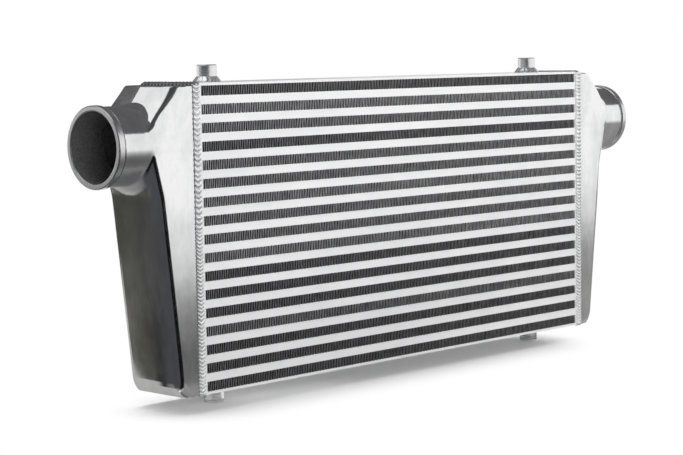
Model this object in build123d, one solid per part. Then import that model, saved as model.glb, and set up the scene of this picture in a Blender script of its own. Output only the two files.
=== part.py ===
from build123d import *

import math
import os

# Bar-and-plate air-to-air intercooler with a cast end tank welded to each end of its core.
# Millimetres. X runs from tank to tank, the cooling air flows along Y, and Z is up.
# The origin is under the middle of the core, level with the feet of the two lower bosses.

# Core
core_length = 600.0
core_depth = 76.2
core_height = 300.0
passage_count = 16
plate_thickness = 2.5
sheet_thickness = 0.5
bar_height = 7.0
bar_depth = 8.0
end_bar_length = 8.0

# Corrugated fins
fin_thickness = 0.3
cooling_fold_count = 48
charge_fold_count = 12
cooling_fin_recess = 0.8
charge_fin_recess = 4.0
fin_side_clearance = 0.2

# End tanks. A reach is outward from the end of the core, and a drop is down from the tank's top.
tank_foot_reach = 24.6
tank_waist_reach = 47.0
tank_waist_drop = 106.0
tank_shoulder_reach = 63.2
tank_shoulder_drop = 42.0
tank_crown_reach = 30.3
tank_top_step = 1.8
tank_wall = 3.5
tank_shoulder_radius = 16.0
tank_waist_radius = 60.0
tank_foot_radius = 24.0
tank_foot_sink = 7.0
tank_rim_radius = 9.0
tank_top_radius = 1.5

# Hose necks
neck_diameter = 76.0
neck_wall = 4.0
neck_drop = 56.2
neck_reach = 93.4
neck_root_radius = 10.0
bead_diameter = 79.0
bead_length = 7.0
bead_slope_length = 1.6
bead_lip_chamfer = 0.8

# Mounting bosses
boss_diameter = 20.0
boss_height = 17.0
boss_inset = 50.0
boss_edge_chamfer = 0.8
boss_hole_diameter = 6.8
boss_hole_depth = 14.0

# Welds
bead_weld_width = 7.5
bead_weld_height = 1.6
boss_weld_leg = 5.0

# Sizes that follow from the ones above
row_count = passage_count + 1
passage_height = bar_height + 2 * sheet_thickness
row_height = (core_height - 2 * plate_thickness - passage_count * passage_height) / row_count
row_pitch = row_height + passage_height
core_bottom = boss_height
core_top = core_bottom + core_height
first_row_bottom = core_bottom + plate_thickness
tank_height = core_height - tank_top_step
neck_height = tank_height - neck_drop
stub_reach = neck_reach - bead_length - bead_slope_length
boss_x = core_length / 2 - boss_inset


def row_middle(row):
    """Height of the middle of a cooling-air row, counted from 0 at the bottom."""
    return first_row_bottom + row * row_pitch + row_height / 2


def passage_middle(passage):
    """Height of the middle of a charge-air passage, counted from 0 at the bottom."""
    return first_row_bottom + passage * row_pitch + row_height + passage_height / 2


def corrugation(run, height, length, fold_count):
    """A folded strip: zigzag along X over run, height tall in Z, length deep in Y."""
    step = run / fold_count
    steepness = math.hypot(step, height) / step
    leg_height = fin_thickness * steepness
    crest = height / 2
    trough = -height / 2 + leg_height
    upper = [(-run / 2 + i * step, crest if i % 2 == 0 else trough) for i in range(fold_count + 1)]
    lower = [(x, z - leg_height) for x, z in reversed(upper)]
    profile = Polyline(*upper, *lower, close=True)
    return extrude(Plane.XZ * make_face(profile), amount=length / 2, both=True)


def plate(bottom):
    return Pos(0, 0, bottom + plate_thickness / 2) * Box(core_length, core_depth, plate_thickness)


def cooling_fin(row):
    """One row of the fins that the outside air passes, open at the front and the back."""
    run = core_length - 2 * end_bar_length - 2 * fin_side_clearance
    length = core_depth - 2 * cooling_fin_recess
    return Pos(0, 0, row_middle(row)) * corrugation(run, row_height, length, cooling_fold_count)


def charge_fin(passage):
    """The inner fin of one charge-air passage, open towards both tanks."""
    run = core_depth - 2 * bar_depth - 2 * fin_side_clearance
    length = core_length - 2 * charge_fin_recess
    strip = corrugation(run, bar_height, length, charge_fold_count)
    return Pos(0, 0, passage_middle(passage)) * Rot(0, 0, 90) * strip


def charge_bar_pair(passage):
    """The two long bars that close a charge-air passage at the front and at the back."""
    y = (core_depth - bar_depth) / 2
    bar = Box(core_length, bar_depth, bar_height)
    return [Pos(0, side * y, passage_middle(passage)) * bar for side in (-1, 1)]


def sheet_pair(passage):
    """The two brazing sheets that part a charge-air passage from the rows beside it."""
    z = (bar_height + sheet_thickness) / 2
    sheet = Box(core_length, core_depth, sheet_thickness)
    return [Pos(0, 0, passage_middle(passage) + side * z) * sheet for side in (-1, 1)]


def end_bars(side):
    """The short bars that close the cooling-air rows against one tank."""
    x = side * (core_length - end_bar_length) / 2
    bar = Box(end_bar_length, core_depth, row_height)
    return [Pos(x, 0, row_middle(row)) * bar for row in range(row_count)]


def tank_outline(overlap):
    """Side view of the right tank, drawn on past the end of the core by overlap.

    From the foot the outer side leans out to a waist, swells round the neck to a shoulder, and is
    chamfered back to the crown. The foot's arc is drawn sunk below the tank's flat underside.
    """
    foot = (tank_foot_reach, -tank_foot_sink)
    waist = (tank_waist_reach, tank_height - tank_waist_drop)
    shoulder = (tank_shoulder_reach, tank_height - tank_shoulder_drop)
    crown = (tank_crown_reach, tank_height)
    core_side = ((-overlap, tank_height), (-overlap, -tank_foot_sink))
    face = make_face(Polyline(*core_side, foot, waist, shoulder, crown, close=True))
    roundings = ((shoulder, tank_shoulder_radius), (waist, tank_waist_radius), (foot, tank_foot_radius))
    for corner, radius in roundings:
        vertex = face.vertices().sort_by_distance((*corner, 0))[0]
        face = fillet(vertex, radius)
    return face


def above(height, top):
    """A block wide and deep enough to trim the right tank, between two heights."""
    return Pos(0, 0, (height + top) / 2) * Box(4 * neck_reach, 2 * core_depth, top - height)


def tank_block():
    """The right tank's outside with its neck root blended in, before it is hollowed."""
    block = extrude(Plane.XZ * tank_outline(0), amount=core_depth / 2, both=True)
    block = block & above(0, tank_height)
    block = fillet([face_rim(block, side * core_depth / 2) for side in (-1, 1)], tank_rim_radius)
    stub = Pos(stub_reach / 2, 0, neck_height) * Rot(0, 90, 0) * Cylinder(neck_diameter / 2, stub_reach)
    joined = block + stub
    joined = fillet([edge for edge in joined.edges() if is_neck_root(edge)], neck_root_radius)
    return fillet([edge for edge in joined.edges() if is_top_edge(edge)], tank_top_radius)


def face_rim(block, y):
    """The long leaning edge of the face at y: the rest of that face's rim follows on smoothly."""
    rim = [edge for edge in block.edges() if all(abs((edge @ k).Y - y) < 0.001 for k in (0, 0.5, 1))]
    leaning = [edge for edge in rim if (edge @ 0).X > 1.0 and (edge @ 1).X > 1.0]
    return max(leaning, key=lambda edge: edge.length)


def is_neck_root(edge):
    """Whether an edge lies on the neck's cylinder where that leaves the tank."""
    radii = [math.hypot((edge @ (k / 4)).Y, (edge @ (k / 4)).Z - neck_height) for k in range(5)]
    on_neck = all(abs(radius - neck_diameter / 2) < 0.01 for radius in radii)
    return on_neck and 1.0 < (edge @ 0.5).X < stub_reach - 1.0 and edge.geom_type != GeomType.LINE


def is_top_edge(edge):
    """Whether an edge bounds the tank's flat top, away from the core."""
    flat = all(abs((edge @ k).Z - tank_height) < 0.001 for k in (0, 0.5, 1))
    return flat and (edge @ 0.5).X > 0.001


def neck_end():
    """The beaded end of the neck, turned about its axis."""
    bead = bead_diameter / 2
    bore = neck_diameter / 2 - neck_wall
    section = Polyline(
        (bore, stub_reach),
        (neck_diameter / 2, stub_reach),
        (bead, neck_reach - bead_length),
        (bead, neck_reach),
        (bore, neck_reach),
        close=True,
    )
    face = make_face(section)
    lip = face.vertices().sort_by_distance((bead, neck_reach, 0))[0]
    face = chamfer(lip, bead_lip_chamfer)
    turned = revolve(Plane.XZ * face, Axis.Z)
    return Pos(0, 0, neck_height) * Rot(0, 90, 0) * turned


def tank_cavity():
    """The space inside the right tank, open to the core and to the neck's bore."""
    inside = offset(tank_outline(2 * tank_wall), amount=-tank_wall)
    hollow = extrude(Plane.XZ * inside, amount=core_depth / 2 - tank_wall, both=True)
    hollow = hollow & above(tank_wall, tank_height)
    bore_length = neck_reach + tank_wall
    bore = Cylinder(neck_diameter / 2 - neck_wall, bore_length)
    return hollow + Pos(bore_length / 2, 0, neck_height) * Rot(0, 90, 0) * bore


def end_tank():
    """The right cast tank in its place."""
    tank = tank_block() + neck_end() - tank_cavity()
    return Pos(core_length / 2, 0, core_bottom) * tank


def tank_weld():
    """The bead all round the joint between the core and the right tank, where a plain tank would end."""
    width = core_depth + 2 * bead_weld_height
    height = core_height + 2 * bead_weld_height
    outline = RectangleRounded(width, height, bead_weld_height)
    middle_z = core_bottom + core_height / 2
    band = extrude(Plane.YZ * outline, amount=bead_weld_width / 2, both=True)
    shoulders = band.edges().filter_by(lambda edge: abs(edge.center().X) > 0.1)
    crowned = chamfer(shoulders, bead_weld_height * 0.7)
    core = Pos(-core_length / 2, 0, 0) * Box(core_length, core_depth, core_height)
    tank_lift = (tank_height - core_height) / 2
    tank = Pos(neck_reach / 2, 0, tank_lift) * Box(neck_reach, core_depth, tank_height)
    return Pos(core_length / 2, 0, middle_z) * (crowned - core - tank)


def boss(x, end):
    """A tapped mounting boss: end is 1 on top of the core and -1 under it."""
    barrel = extrude(Circle(boss_diameter / 2), amount=boss_height)
    rim = barrel.edges().sort_by(Axis.Z)[-1]
    barrel = chamfer(rim, boss_edge_chamfer)
    hole = Pos(0, 0, boss_height - boss_hole_depth) * extrude(Circle(boss_hole_diameter / 2), boss_hole_depth)
    return boss_place(x, end) * (barrel - hole)


def boss_weld(x, end):
    """The fillet of weld metal round a boss's foot."""
    radius = boss_diameter / 2
    section = Polyline((radius + boss_weld_leg, 0), (radius, 0), (radius, boss_weld_leg), close=True)
    ring = revolve(Plane.XZ * make_face(section), Axis.Z)
    return boss_place(x, end) * ring


def boss_place(x, end):
    """Turns a boss drawn upwards from Z = 0 onto the top or the underside of the core."""
    return Pos(x, 0, core_top) if end > 0 else Pos(x, 0, core_bottom) * Rot(180, 0, 0)


def intercooler():
    """Every piece by its node name. A list is a node of several separate solids."""
    parts = {}
    tank = end_tank()
    weld = tank_weld() - tank
    parts["right_tank"] = tank
    parts["left_tank"] = mirror(tank, Plane.YZ)
    parts["right_tank_weld"] = weld
    parts["left_tank_weld"] = mirror(weld, Plane.YZ)
    parts["bottom_plate"] = plate(core_bottom)
    parts["top_plate"] = plate(core_top - plate_thickness)
    parts["left_end_bars"] = end_bars(-1)
    parts["right_end_bars"] = end_bars(1)
    parts["parting_sheets"] = [sheet for passage in range(passage_count) for sheet in sheet_pair(passage)]
    parts["charge_fins"] = [charge_fin(passage) for passage in range(passage_count)]
    for passage in range(passage_count):
        parts[f"charge_bars_{passage + 1:02d}"] = charge_bar_pair(passage)
    for row in range(row_count):
        parts[f"cooling_fin_{row + 1:02d}"] = cooling_fin(row)
    sides = (("left", -boss_x), ("right", boss_x))
    ends = (("upper", 1), ("lower", -1))
    for end_name, end in ends:
        for side_name, x in sides:
            parts[f"{end_name}_{side_name}_boss"] = boss(x, end)
    parts["boss_welds"] = [boss_weld(x, end) for _, end in ends for _, x in sides]
    return parts


os.makedirs("parts", exist_ok=True)
for name, shape in intercooler().items():
    whole = Compound(children=[Compound(piece.solids()) for piece in shape]) if isinstance(shape, list) else shape
    export_step(whole, f"parts/{name}.step")
    print(name, round(whole.volume), "mm3")
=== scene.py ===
# %% [markdown]
# # A bar-and-plate intercooler
#
# An intercooler cools the air between a turbocharger and an engine. Hot air enters one cast tank,
# spreads into sixteen flat passages, and leaves through the other tank, while outside air blows
# through seventeen rows of folded fins. The construction comes ready made as a frame of solids.
# This lesson dresses that frame: fins at their real density, weld beads with ripples, and metals.

# %% Load the frame
import math

import bpy
import numpy as np
from mathutils import Matrix, Vector


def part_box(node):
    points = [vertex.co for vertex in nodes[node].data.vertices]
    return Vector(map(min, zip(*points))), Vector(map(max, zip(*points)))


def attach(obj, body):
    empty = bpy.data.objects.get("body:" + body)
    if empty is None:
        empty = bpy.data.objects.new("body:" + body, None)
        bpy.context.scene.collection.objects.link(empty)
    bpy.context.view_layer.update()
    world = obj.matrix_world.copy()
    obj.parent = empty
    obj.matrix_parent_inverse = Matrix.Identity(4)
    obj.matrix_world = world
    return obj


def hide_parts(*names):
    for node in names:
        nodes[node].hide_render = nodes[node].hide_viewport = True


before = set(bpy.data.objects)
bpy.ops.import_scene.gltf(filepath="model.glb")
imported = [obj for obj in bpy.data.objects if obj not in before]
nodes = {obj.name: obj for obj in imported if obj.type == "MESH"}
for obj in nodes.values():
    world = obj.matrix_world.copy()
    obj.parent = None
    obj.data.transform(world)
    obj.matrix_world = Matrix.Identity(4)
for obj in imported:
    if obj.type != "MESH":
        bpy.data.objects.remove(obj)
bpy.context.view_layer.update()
MM = 0.001

# %% [markdown]
# ## Sizes read from the frame
#
# Every piece made here must sit on the frame's own solids, so its sizes are read from their boxes.
# The core is the block between the two tanks: the plates give its length and height.

# %% Sizes of the core
plate_low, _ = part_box("bottom_plate")
_, plate_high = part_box("top_plate")
bar_low, bar_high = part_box("charge_bars_01")
CORE_LEFT, CORE_FRONT, CORE_BOTTOM = plate_low
CORE_RIGHT, CORE_BACK, CORE_TOP = plate_high
ROWS = sorted(name for name in nodes if name.startswith("cooling_fin"))
BARS = sorted(name for name in nodes if name.startswith("charge_bars"))
print("core", CORE_RIGHT - CORE_LEFT, CORE_BACK - CORE_FRONT, CORE_TOP - CORE_BOTTOM)
print("rows", len(ROWS), "bars", len(BARS), "bar height", bar_high[2] - bar_low[2])


# %% [markdown]
# ## Small helpers for node materials
#
# A material is a small graph. These helpers add a node, set its inputs by name and wire it up, so
# that each metal below reads as a short recipe.

# %% Material helpers
def new_material(name, metallic=0.0):
    """A new node material, with its graph and its Principled shader."""
    material = bpy.data.materials.new(name)
    material.use_nodes = True
    shader = material.node_tree.nodes["Principled BSDF"]
    shader.inputs["Metallic"].default_value = metallic
    return material, material.node_tree, shader


def add_node(tree, kind, inputs=None, **settings):
    """One node of that kind, with its settings and its input values or links."""
    node = tree.nodes.new(kind)
    for key, value in settings.items():
        setattr(node, key, value)
    for key, value in (inputs or {}).items():
        if isinstance(value, bpy.types.NodeSocket):
            tree.links.new(value, node.inputs[key])
        else:
            node.inputs[key].default_value = value
    return node


def ramp(tree, factor, stops):
    """A colour ramp: stops are (position, grey or colour)."""
    node = add_node(tree, "ShaderNodeValToRGB", {"Fac": factor})
    elements = node.color_ramp.elements
    while len(elements) < len(stops):
        elements.new(0.5)
    for element, (position, colour) in zip(elements, stops):
        element.position = position
        if isinstance(colour, (int, float)):
            colour = (colour, colour, colour)
        element.color = (*colour, 1.0)
    return node.outputs["Color"]


def drive(tree, shader, socket, texture, stops):
    """Lets a texture set one of the shader's sockets, by way of a ramp."""
    tree.links.new(ramp(tree, texture, stops), shader.inputs[socket])


def noise_on(tree, scale, detail=3.0, roughness=0.5, stretch=(1, 1, 1)):
    """A noise texture on object coordinates, stretched along an axis by a small scale there."""
    place = add_node(tree, "ShaderNodeTexCoord").outputs["Object"]
    mapping = add_node(tree, "ShaderNodeMapping", {"Vector": place, "Scale": stretch})
    settings = {"Vector": mapping.outputs["Vector"], "Scale": scale, "Detail": detail, "Roughness": roughness}
    return add_node(tree, "ShaderNodeTexNoise", settings).outputs["Fac"]


def bump_from(tree, shader, height, distance, strength=1.0, below=None):
    """Feeds a height into the shader's normal: distance is in metres."""
    inputs = {"Height": height, "Distance": distance, "Strength": strength}
    if below is not None:
        inputs["Normal"] = below
    node = add_node(tree, "ShaderNodeBump", inputs)
    tree.links.new(node.outputs["Normal"], shader.inputs["Normal"])
    return node.outputs["Normal"]


print("helpers ready")

# %% [markdown]
# ## Polished cast aluminium
#
# The tanks are castings whose outside was ground and polished on a belt. Polished metal shows
# mostly what it reflects. What makes it look real is what is left of the work: faint long scratches
# along the belt's way, a cloudy change of gloss, and a slight waviness from the hand. The belt
# doesn't get under the tank, so faces that look down are left satin.


# %% The tanks' metal
material, tree, shader = new_material("polished_casting", 1.0)
clouds = noise_on(tree, 26.0, detail=5.0, roughness=0.62, stretch=(1.0, 1.0, 0.6))
scratches = noise_on(tree, 60.0, detail=5.0, roughness=0.7, stretch=(9.0, 9.0, 0.35))
drive(tree, shader, "Base Color", clouds, [(0.32, (0.68, 0.685, 0.69)), (0.62, (0.89, 0.89, 0.895))])
gloss = add_node(tree, "ShaderNodeMath", {0: clouds, 1: scratches}, operation="MULTIPLY")
rough = ramp(tree, gloss.outputs[0], [(0.12, 0.09), (0.42, 0.18)])
facing = add_node(tree, "ShaderNodeNewGeometry").outputs["Normal"]
upward = add_node(tree, "ShaderNodeSeparateXYZ", {"Vector": facing}).outputs["Z"]
under = {"Value": upward, "From Min": -0.35, "From Max": -0.75, "To Min": 0.0, "To Max": 0.40}
satin = add_node(tree, "ShaderNodeMapRange", under).outputs["Result"]
dull = add_node(tree, "ShaderNodeMath", {0: rough, 1: satin}, operation="ADD")
tree.links.new(dull.outputs[0], shader.inputs["Roughness"])
waves = noise_on(tree, 30.0, detail=2.0)
waviness = bump_from(tree, shader, waves, 0.0008, 0.15)
bump_from(tree, shader, scratches, 0.00004, 0.6, below=waviness)
CASTING = material
print("made", CASTING.name)

# %% [markdown]
# Inside, the casting keeps its sand skin: dull and grainy, and painted a dark grey that also stands
# for the shade in the hollow. The end of the neck was faced in a lathe, so it is smoother than the skin
# and less glossy than the belt finish. Metals such as these share one recipe: the same noise sets
# their tint, their gloss and their relief.

# %% Recipe for a marked metal
MARK_ENDS = (0.30, 0.70)  # nearly all of a noise lies between these two values


def marked_metal(name, metallic, marks, tints, roughness, relief=None):
    """A metal whose tint follows a noise, and so does its roughness where it is a pair."""
    material, tree, shader = new_material(name, metallic)
    texture = noise_on(tree, **marks)
    drive(tree, shader, "Base Color", texture, list(zip(MARK_ENDS, tints)))
    if isinstance(roughness, tuple):
        drive(tree, shader, "Roughness", texture, list(zip(MARK_ENDS, roughness)))
    else:
        shader.inputs["Roughness"].default_value = roughness
    if relief:
        bump_from(tree, shader, texture, *relief)
    return material


print("recipe ready")

# %% Sand skin and faced neck end
# The sand skin's dark grey is partly its own colour and partly painted shade for the inside of the tank.
SAND_SKIN_AND_SHADE = marked_metal("sand_skin_and_shade", 0.7, {"scale": 420.0},
                         ((0.15, 0.15, 0.155), (0.26, 0.26, 0.265)), (0.62, 0.48), (0.0003, 0.5))
FACED_END = marked_metal("faced_end", 1.0, {"scale": 160.0, "stretch": (4.0, 1.0, 1.0)},
                         ((0.68, 0.68, 0.685), (0.82, 0.82, 0.825)), (0.26, 0.36), (0.00004, 0.5))
print("made", SAND_SKIN_AND_SHADE.name, FACED_END.name)

# %% [markdown]
# ## Bright core metal
#
# The bars and plates are mill-finished extrusions, etched clean for brazing. They scatter light so
# evenly that they look nearly white. Fine drawn lines run along their length.


# %% The bars' metal
material, tree, shader = new_material("etched_bar", 0.55)
lines = noise_on(tree, 120.0, detail=4.0, roughness=0.6, stretch=(0.05, 1.0, 6.0))
stains = noise_on(tree, 18.0, stretch=(0.5, 1.0, 1.0))
drive(tree, shader, "Base Color", stains, [(0.30, (0.90, 0.905, 0.91)), (0.65, (0.97, 0.97, 0.97))])
drive(tree, shader, "Roughness", lines, [(0.30, 0.40), (0.70, 0.54)])
bump_from(tree, shader, lines, 0.00004, 0.6)
BAR_METAL = material
print("made", BAR_METAL.name)

# %% [markdown]
# ## Fin stock
#
# The fins are folded from thin rolled strip. Each leg shows only its edge at the front and falls
# into shade behind it. That shade is painted into the strip's faces, so they are duller and far darker
# than the bars, and the front and back edges get a lit copy of the metal as a painted highlight.
# Brazing leaves some strips brighter than others, so the metal comes in three grades.

# %% The fins' metal
FIN_GRADES = {"bright": 1.12, "plain": 0.95, "dull": 0.62}  # how much of its tint a grade keeps
# Painted shade and highlight: dark tints for the faces, in the shade between the legs, and bright ones for
# the lit edges.
SHADED_FACE_TINTS = np.array(((0.07, 0.07, 0.075), (0.17, 0.17, 0.18)))
LIT_EDGE_TINTS = np.array(((0.50, 0.50, 0.51), (0.86, 0.86, 0.87)))
FIN_SHADED_FACES, FIN_LIT_EDGES = {}, {}
for grade, shade in FIN_GRADES.items():
    FIN_SHADED_FACES[grade] = marked_metal(f"fin_stock_shaded_{grade}", 0.8, {"scale": 90.0},
                                     SHADED_FACE_TINTS * shade, 0.42, (0.00005, 0.4))
    FIN_LIT_EDGES[grade] = marked_metal(f"fin_edge_lit_{grade}", 0.8, {"scale": 140.0}, LIT_EDGE_TINTS * shade, 0.40)
FIN_SHADED_METAL = FIN_SHADED_FACES["plain"]
print("made", list(FIN_SHADED_FACES), "and their edges")


# %% [markdown]
# ## Weld metal
#
# A weld bead froze as a row of overlapping puddles. The skin of each puddle is bright and smooth,
# with a little frost. Painted shade darkens the creases, where shade falls. How much of it each point
# gets is stored in the mesh.


# %% The welds' metal
# Painted shade: the near-black tint laid on the welds' creases and edges, where shade falls.
WELD_SHADE_TINT = (0.03, 0.03, 0.034, 1.0)


def in_use(sockets, name):
    """The socket of that name that a Mix node uses for its kind of data: it has several of each."""
    return next(socket for socket in sockets if socket.name == name and socket.enabled)


material, tree, shader = new_material("weld_metal", 0.88)
frost = noise_on(tree, 260.0)
clean = ramp(tree, frost, [(0.35, (0.88, 0.89, 0.90)), (0.65, (0.97, 0.97, 0.98))])
# How much painted shade each point has, read from the mesh.
painted_shade = add_node(tree, "ShaderNodeAttribute", attribute_name="painted_shade").outputs["Fac"]
tint = add_node(tree, "ShaderNodeMix", data_type="RGBA")
tree.links.new(painted_shade, in_use(tint.inputs, "Factor"))
tree.links.new(clean, in_use(tint.inputs, "A"))
in_use(tint.inputs, "B").default_value = WELD_SHADE_TINT
tree.links.new(in_use(tint.outputs, "Result"), shader.inputs["Base Color"])
drive(tree, shader, "Roughness", frost, [(0.35, 0.34), (0.65, 0.22)])
bump_from(tree, shader, frost, 0.00006, 0.4)
WELD_METAL = material
print("made", WELD_METAL.name)

# %% [markdown]
# ## Turned bosses
#
# The bosses were parted off a round bar in a lathe, which leaves very fine rings round the axis.

# %% The bosses' metal
BOSS_METAL = marked_metal("turned_metal", 0.95, {"scale": 300.0, "stretch": (0.15, 0.15, 5.0)},
                          ((0.76, 0.76, 0.77), (0.88, 0.88, 0.89)), (0.22, 0.34), (0.00003, 0.6))
print("made", BOSS_METAL.name)

# %% [markdown]
# ## Dressing the frame's own solids
#
# A solid whose shape is already right stays, and only its material slot changes. One table from the
# starts of the nodes' names to their metal keeps the choice in one place. The first that fits counts,
# so the tanks' welds stand above the tanks.

# %% Metals for the nodes that stay
METALS = (
    (("left_tank_weld", "right_tank_weld", "boss_welds"), WELD_METAL),
    (("left_tank", "right_tank"), CASTING),
    (("charge_bars", "top_plate", "bottom_plate", "parting_sheets"), BAR_METAL),
    (("left_end_bars", "right_end_bars"), BAR_METAL),
    (("charge_fins", "cooling_fin"), FIN_SHADED_METAL),
    (("upper_", "lower_"), BOSS_METAL),
)
for name, node in nodes.items():
    node.data.materials.clear()
    node.data.materials.append(next(metal for starts, metal in METALS if name.startswith(starts)))
print("dressed", len(nodes), "nodes")

# %% [markdown]
# ## The folded fins
#
# Each cooling row is one thin strip folded to and fro, with some two hundred and fifty legs over the
# core. The frame's strip has wide folds, so each row is made again at its real density: first the
# line of the folds as seen from the front, then the strip's thickness, then its run through the core.
# Small random leans keep the legs from looking printed, because real fins are soft and get nudged.

# %% Line of the folds
LEG_PITCH = 2.35 * MM
STRIP_THICKNESS = 0.24 * MM
EDGE_THICKNESS = 0.42 * MM  # the sheared edge carries a burr
FOLD_RADIUS = 0.45 * MM
POINTS_PER_LEG = 4
LEG_JITTER = 0.10 * MM
LEG_LEAN = 0.16 * MM


def fold_line(low, high, random):
    """Front view of a folded strip as (x, z) points: four for each leg, and the leg each belongs to."""
    legs = int((high[0] - low[0]) / LEG_PITCH)
    pitch = (high[0] - low[0]) / legs
    bottom = low[2] + STRIP_THICKNESS / 2
    top = high[2] - STRIP_THICKNESS / 2
    points, owners = [], []
    for leg in range(legs):
        way = 1 if leg % 2 == 0 else -1  # up or down
        x = low[0] + pitch * (leg + 0.5) + random.uniform(-LEG_JITTER, LEG_JITTER)
        lean = LEG_LEAN * way + random.uniform(-LEG_JITTER, LEG_JITTER)
        bend = FOLD_RADIUS * way
        upwards = [(x - lean - bend, bottom), (x - lean, bottom + FOLD_RADIUS),
                   (x + lean, top - FOLD_RADIUS), (x + lean + bend, top)]
        points += upwards[::way]
        owners += [leg] * POINTS_PER_LEG
    return np.array(points), np.array(owners)


print("legs in a row", int((CORE_RIGHT - CORE_LEFT) / LEG_PITCH))

# %% [markdown]
# The strip gets its thickness by stepping half of it to each side of the line. Then the outline is
# repeated at a few depths. Near the front and back the legs wander a little, and in a few places a
# knock has bent them over. Between them the whole strip swings sideways and back, twice: such fins
# are pressed in waves so that the air mixes, and nobody can look straight through the core.

# %% Strip with thickness and depth
EDGE_WANDER = 0.16 * MM
EDGE_DEPTH = 3.5 * MM
BURR_DEPTH = 0.35 * MM
HELD = 0.35  # how much of a leg's sideways shift is left at its brazed foot and head
WAVE_REACH = 2.7 * MM
WAVE_FADE = 25.0 * MM  # the wave dies out this near the ends of the row
WANDER_SHARE = (1.0, 0.9, 0.3, 0.0, 0.0, 0.0, 0.3, 0.9, 1.0)  # one number for each depth, from the front
KNOCK_SHARE = (1.0, 0.9, 0.2, 0.0, 0.0, 0.0, 0.0, 0.0, 0.0)
WAVE_SHARE = (0.0, 0.0, 0.0, 1.0, 0.0, 1.0, 0.0, 0.0, 0.0)
KNOCKS = {  # row: (where along the core, half width, how far the legs are bent)
    "cooling_fin_15": ((-0.262, 0.011, 1.1 * MM), (-0.236, 0.006, -0.7 * MM)),
    "cooling_fin_01": ((-0.268, 0.010, 1.0 * MM), (-0.249, 0.006, -0.8 * MM)),
    "cooling_fin_09": ((0.118, 0.007, -0.6 * MM),),
    "cooling_fin_14": ((0.272, 0.009, 0.7 * MM),),
}


def sides_of(line, thickness):
    """The line moved half the strip's thickness to its left and to its right."""
    along = np.gradient(line, axis=0)
    along /= np.linalg.norm(along, axis=1)[:, None]
    across = np.stack([-along[:, 1], along[:, 0]], axis=1) * thickness / 2
    return line + across, line - across


def knock_at(name, x):
    """How far the front ends of the legs at x are bent sideways."""
    bend = np.zeros_like(x)
    for middle, half_width, reach in KNOCKS.get(name, ()):
        bend += reach * np.clip(1 - ((x - middle) / half_width) ** 2, 0, None)
    return bend


print("rows with knocks", len(KNOCKS))


# %% Mesh of one row
def fin_mesh(name, random):
    """Vertices and faces of one row's strip."""
    low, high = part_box(name)
    line, owners = fold_line(low, high, random)
    ring_owner = np.concatenate([owners, owners[::-1]])
    inner = np.linspace(low[1] + EDGE_DEPTH, high[1] - EDGE_DEPTH, 5)
    depths = [low[1], low[1] + BURR_DEPTH, *inner, high[1] - BURR_DEPTH, high[1]]
    front_wander, back_wander = random.uniform(-EDGE_WANDER, EDGE_WANDER, (2, owners.max() + 1))
    vertices = []
    for step, y in enumerate(depths):
        left, right = sides_of(line, EDGE_THICKNESS if y in (low[1], high[1]) else STRIP_THICKNESS)
        ring = np.concatenate([left, right[::-1]])
        wander = (front_wander if step < 4 else back_wander)[ring_owner]
        shift = wander * WANDER_SHARE[step] + knock_at(name, ring[:, 0]) * KNOCK_SHARE[step]
        from_end = np.minimum(ring[:, 0] - low[0], high[0] - ring[:, 0])
        wave = WAVE_REACH * WAVE_SHARE[step] * np.clip(from_end / WAVE_FADE, 0, 1)
        middle = 1 - np.abs(2 * (ring[:, 1] - low[2]) / (high[2] - low[2]) - 1)
        x = np.clip(ring[:, 0] + shift * (HELD + (1 - HELD) * middle) + wave, low[0], high[0])
        z = np.clip(ring[:, 1], low[2], high[2])
        vertices.append(np.stack([x, np.full(len(ring), y), z], axis=1))
    return np.concatenate(vertices), strip_faces(len(ring), len(depths))


def band_faces(count, bands, rows):
    """Faces of bands between closed rows of points. After the last row comes the first again."""
    return [(r * count + i, r * count + (i + 1) % count,
             (r + 1) % rows * count + (i + 1) % count, (r + 1) % rows * count + i)
            for r in range(bands) for i in range(count)]


def strip_faces(count, layers):
    """Walls between the layers, and the strip's thin front and back edges."""
    faces = band_faces(count, layers - 1, layers)
    last = (layers - 1) * count
    for i in range(count // 2 - 1):
        k = count - 1 - i
        faces.append((i, k, k - 1, i + 1))
        faces.append((last + i, last + i + 1, last + k - 1, last + k))
    return faces


def mesh_object(name, vertices, faces, material, smooth=False):
    """A new object from plain lists, in the collection and ready to ride."""
    mesh = bpy.data.meshes.new(name)
    mesh.from_pydata([tuple(v) for v in vertices], [], faces)
    mesh.polygons.foreach_set("use_smooth", [smooth] * len(mesh.polygons))
    mesh.materials.append(material)
    mesh.update()
    item = bpy.data.objects.new(name, mesh)
    bpy.context.scene.collection.objects.link(item)
    return item


print("strip helpers ready")

# %% Make every row
fin_random = np.random.default_rng(7)
row_grades = np.random.default_rng(4).choice(list(FIN_GRADES), len(ROWS))
for name, grade in zip(ROWS, row_grades):
    vertices, faces = fin_mesh(name, fin_random)
    fin = mesh_object(f"{name}_folds", vertices, faces, FIN_SHADED_FACES[grade])
    fin.data.materials.append(FIN_LIT_EDGES[grade])
    middles = vertices[np.array(faces)].mean(axis=1)[:, 1]
    low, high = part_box(name)
    # Faces on the front and back edges take the lit edge metal, a painted highlight.
    on_edge = (middles < low[1] + BURR_DEPTH) | (middles > high[1] - BURR_DEPTH)
    fin.data.polygons.foreach_set("material_index", on_edge.astype(np.int32))
    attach(fin, "root")
    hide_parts(name)
print("rows made", len(ROWS), "faces in the last", len(fin.data.polygons))

# %% [markdown]
# ## The cast tanks
#
# A casting has no sharp corners: the side rolls into the front, and the neck grows out of the side
# with a hollow root. Such a form is easy to describe by distance. One function tells how far a point
# is outside or inside the metal, and where it gives nought is the surface. Distances to simple shapes
# are joined by small rules that round the joint, and a net is then drawn over the nought surface.
# The sizes here are millimetres from the end of the core (u), the middle (y) and the foot (z).

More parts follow.
